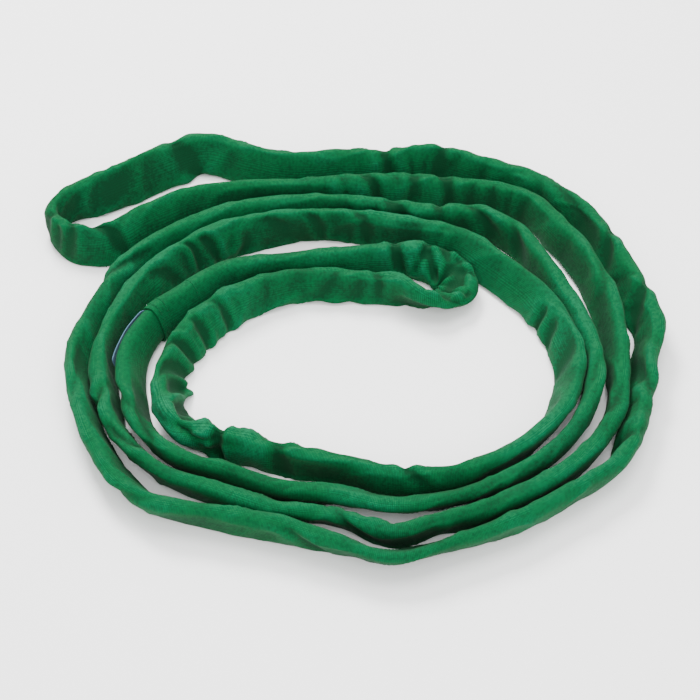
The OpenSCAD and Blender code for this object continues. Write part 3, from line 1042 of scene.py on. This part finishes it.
def mottle_and_fold_light_group() -> bpy.types.NodeTree:
    """Colour that varies slowly over the cloth, with a painted highlight on its fold ridges and painted
    shade deepening in its folds.
    """
    group = new_group(
        "Mottle and fold light",
        {"Colour": ("NodeSocketColor", (0.5, 0.5, 0.5, 1)),
         "Pale and highlight": ("NodeSocketColor", (0.6, 0.6, 0.6, 1)),
         "Deep": ("NodeSocketColor", (0.2, 0.2, 0.2, 1)), "Amount": ("NodeSocketFloat", 0.5)},
        {"Colour": "NodeSocketColor"})
    tree = NodeTree(group)
    given = tree.add("NodeGroupInput")
    fold = tree.add("ShaderNodeAttribute", attribute_name="fold").outputs[2]
    place = tree.add("ShaderNodeTexCoord").outputs[3]
    broad = tree.noise(place, 7.0, 2.0)
    streak = tree.noise(place, 130.0, 4.0)
    grain = tree.math("MULTIPLY", tree.math("SUBTRACT", tree.noise(place, 300.0, 2.0), 0.42), 1.6)
    # Painted highlight: the fold ridges are mixed towards the paler colour, as if lit.
    ridge_highlight = tree.math("MULTIPLY", tree.math("MAXIMUM", fold, 0.0), given.outputs[3])
    # Painted shade: the fold valleys are mixed towards the dark colour; the random grain adds dark flecks
    # of weave.
    fold_shade_and_grain = tree.math("MULTIPLY", tree.math("MAXIMUM", tree.math("MULTIPLY", fold, -1.0), 0.0), 0.55)
    fold_shade_and_grain = tree.math("ADD", fold_shade_and_grain, tree.math("MAXIMUM", grain, 0.0))
    bloom = tree.math("MULTIPLY", tree.math("SUBTRACT", broad, 0.48), 2.2)
    # Paleness: random pale patches, plus the painted highlight on the fold ridges.
    pale = tree.math("ADD", ridge_highlight, tree.math("MAXIMUM", bloom, 0.0))
    pale = tree.math("MINIMUM", tree.math("MULTIPLY", pale, streak), 0.8)
    colour = tree.mix(pale, given.outputs[0], given.outputs[1])
    colour = tree.mix(tree.math("MINIMUM", fold_shade_and_grain, 0.85), colour, given.outputs[2])
    out = tree.add("NodeGroupOutput")
    tree.feed(out.inputs[0], colour)
    return group


@dataclass(frozen=True)
class ClothFinish:
    """Woven or wound fibre, matt with a soft sheen."""

    name: str
    colour: Colour
    # The paler tone, for random mottle and for the painted highlight on fold ridges.
    pale_and_highlight: Colour
    # The dark tone, for painted shade in folds and between threads, and for dark grain.
    deep: Colour
    pitch: float = 1.5 * MM
    rib: float = 0.6
    bump: float = 0.6
    rough: float = 0.82
    sheen: float = 0.25
    specular: float = 0.3
    # How strongly the fold ridges get their painted highlight.
    fold_light: float = 0.5

    def material(self) -> bpy.types.Material:
        """Builds the procedural material.

        Returns:
            A material that reads the piece's UV map and its fold attribute.
        """
        made = bpy.data.materials.new(self.name)
        made.use_nodes = True
        made.node_tree.nodes.clear()
        tree = NodeTree(made.node_tree)
        weave = tree.add("ShaderNodeGroup", node_tree=shared_group("Weave"),
                         in_0=self.pitch, in_1=self.rib)
        # This group paints shade into the folds and a highlight onto their ridges, over random mottle.
        fold_light = tree.add("ShaderNodeGroup", node_tree=shared_group("Mottle and fold light"), in_0=(*self.colour, 1),
                        in_1=(*self.pale_and_highlight, 1), in_2=(*self.deep, 1), in_3=self.fold_light)
        # Painted shade in the gaps between the threads.
        shade = tree.mix(tree.math("MULTIPLY", weave.outputs[1], 0.8), fold_light.outputs[0], (*self.deep, 1))
        rough = tree.math("ADD", tree.math("MULTIPLY", weave.outputs[1], 0.12), self.rough - 0.06)
        bump = tree.add("ShaderNodeBump")
        bump.inputs["Strength"].default_value = self.bump
        bump.inputs["Distance"].default_value = 0.35 * MM
        tree.feed(bump.inputs["Height"], weave.outputs[0])
        cloth = tree.add("ShaderNodeBsdfPrincipled")
        tree.feed(cloth.inputs["Base Color"], shade)
        tree.feed(cloth.inputs["Roughness"], rough)
        tree.feed(cloth.inputs["Normal"], bump.outputs[0])
        cloth.inputs["Specular IOR Level"].default_value = self.specular
        cloth.inputs["Sheen Weight"].default_value = self.sheen
        cloth.inputs["Sheen Roughness"].default_value = 0.45
        out = tree.add("ShaderNodeOutputMaterial")
        tree.feed(out.inputs[0], cloth.outputs[0])
        return made


GROUP_MAKERS = {"Weave": weave_group, "Mottle and fold light": mottle_and_fold_light_group}


def shared_group(name: str) -> bpy.types.NodeTree:
    """The shader group of that name, built the first time that it is asked for."""
    return bpy.data.node_groups.get(name) or GROUP_MAKERS[name]()


@dataclass
class Studio:
    """Floor, lights, sky and camera."""

    elevation: float = 45.0
    distance: float = 2.121
    lens: float = 102.9
    target: tuple[float, float, float] = (0.00635, 0.0003, 0.0)
    floor_size: float = 12.0
    floor_shade: float = 0.94

    def build(self) -> None:
        """Adds the floor, the sky and the lights."""
        self.floor()
        self.sky()
        self.softbox("key_light", (-0.7, 1.6, 2.2), 1.0, 140.0)
        self.softbox("fill_light", (0.4, -2.4, 1.9), 2.4, 85.0)
        self.softbox("top_light", (0.3, 0.1, 3.0), 1.6, 60.0)

    def camera(self) -> None:
        """Adds the camera, which looks down at the coil."""
        data = bpy.data.cameras.new("camera")
        data.lens = self.lens
        data.sensor_width = 36.0
        data.clip_end = 50.0
        tilt = math.radians(self.elevation)
        obj = bpy.data.objects.new("camera", data)
        back = Vector((0.0, -math.cos(tilt), math.sin(tilt)))
        obj.location = Vector(self.target) + back * self.distance
        obj.rotation_euler = (-back).to_track_quat("-Z", "Y").to_euler()
        bpy.context.scene.collection.objects.link(obj)
        bpy.context.scene.camera = obj

    def floor(self) -> None:
        """Adds the pale floor."""
        bpy.ops.object.select_all(action="DESELECT")
        bpy.ops.mesh.primitive_plane_add(size=self.floor_size, location=(0, 0, 0))
        floor = bpy.context.object
        floor.name = "floor"
        made = bpy.data.materials.new("pale_floor")
        made.use_nodes = True
        shader = made.node_tree.nodes["Principled BSDF"]
        shader.inputs["Base Color"].default_value = (self.floor_shade,) * 3 + (1,)
        shader.inputs["Roughness"].default_value = 0.9
        floor.data.materials.append(made)

    def sky(self) -> None:
        """Adds the even light from all round."""
        world = bpy.data.worlds.new("studio")
        world.use_nodes = True
        world.node_tree.nodes["Background"].inputs[0].default_value = (1, 1, 1, 1)
        world.node_tree.nodes["Background"].inputs[1].default_value = 1.5
        bpy.context.scene.world = world

    def softbox(self, name: str, place: tuple[float, float, float], size: float, power: float) -> None:
        """Adds one large soft light that points at the coil."""
        data = bpy.data.lights.new(name, "AREA")
        data.size = size
        data.energy = power
        obj = bpy.data.objects.new(name, data)
        obj.location = place
        obj.rotation_euler = (Vector((0, 0, 0)) - Vector(place)).to_track_quat("-Z", "Y").to_euler()
        bpy.context.scene.collection.objects.link(obj)


LONG_NOISE = Noise(11)
DRAG_NOISE = Noise(23)
CROSS_NOISE = Noise(37)
FINE_NOISE = Noise(53)

# Each finish: its own colour, a paler tone for random mottle and the painted highlight on fold ridges,
# and a dark tone for painted shade in folds and thread gaps and for dark grain.
JACKET_CLOTH = ClothFinish("jacket_cloth", (0.0, 0.085, 0.024), (0.003, 0.15, 0.066), (0.0, 0.022, 0.007),
                           sheen=0.02, specular=0.08)
CORE_YARN = ClothFinish("core_yarn", (0.82, 0.8, 0.72), (0.86, 0.85, 0.8), (0.5, 0.48, 0.4), pitch=2 * MM)
BINDING_TAPE = ClothFinish("binding_tape", (0.62, 0.52, 0.3), (0.68, 0.6, 0.4), (0.3, 0.24, 0.12))
SEWING_THREAD = ClothFinish("sewing_thread", (0.0, 0.085, 0.026), (0.002, 0.12, 0.045), (0.0, 0.03, 0.01),
                            pitch=0.5 * MM, rough=0.7, sheen=0.02, specular=0.1)
LABEL_FABRIC = ClothFinish("label_fabric", (0.07, 0.15, 0.22), (0.12, 0.2, 0.28), (0.04, 0.08, 0.13),
                           pitch=0.7 * MM, rib=0.3, bump=0.2, sheen=0.05)
LABEL_THREAD = ClothFinish("label_thread", (0.8, 0.82, 0.85), (0.85, 0.86, 0.88), (0.4, 0.42, 0.45),
                           pitch=0.5 * MM, rough=0.6)


def dress(piece: bpy.types.Object, body: str | None, finish: ClothFinish, slot: str, *nodes: str) -> None:
    """Gives a finished piece its material and its body, and hides the nodes that it stands for.

    Args:
        piece: The piece.
        body: The body that it moves with, or None to leave it unattached.
        finish: Its material.
        slot: The material slot's name; not used.
        *nodes: The nodes that it replaces.
    """
    piece.data.materials.clear()
    piece.data.materials.append(finish.material())
    if body:
        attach(piece, body)
    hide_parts(*nodes)
    LOG.info("%s: %d faces, for %s", piece.name, len(piece.data.polygons), ", ".join(nodes))


def main() -> None:
    """Builds the scene, piece by piece."""
    logging.basicConfig(level=logging.INFO, format="%(message)s")
    studio = Studio()
    studio.camera()
    strand = Strand()
    LOG.info("plan scale %.5f, centre %s", strand.scale, strand.coil_centre)
    jacket = Jacket(strand)
    cloth = jacket.build()
    dress(cloth, jacket.body, JACKET_CLOTH, "jacket_cloth", "jacket")
    path = jacket.centreline()

    core = Core(jacket)
    dress(core.build(), jacket.body, CORE_YARN, "core_yarn", "core_yarn")
    dress(core.tape(), jacket.body, BINDING_TAPE, "binding_tape", "core_end_tape")

    closure = Closure(jacket)
    dress(closure.closing_thread(), closure.body, SEWING_THREAD, "sewing_thread", "closure_stitches")
    dress(closure.label_thread(), closure.body, LABEL_THREAD, "label_thread", "label_stitches")

    label = Label(jacket)
    strip = label.build()
    dress(strip, None, LABEL_FABRIC, "label_fabric", "label", "label_margin")
    inner, outer = label.bend_line()
    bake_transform(strip)

    studio.build()


if __name__ == "__main__":
    main()
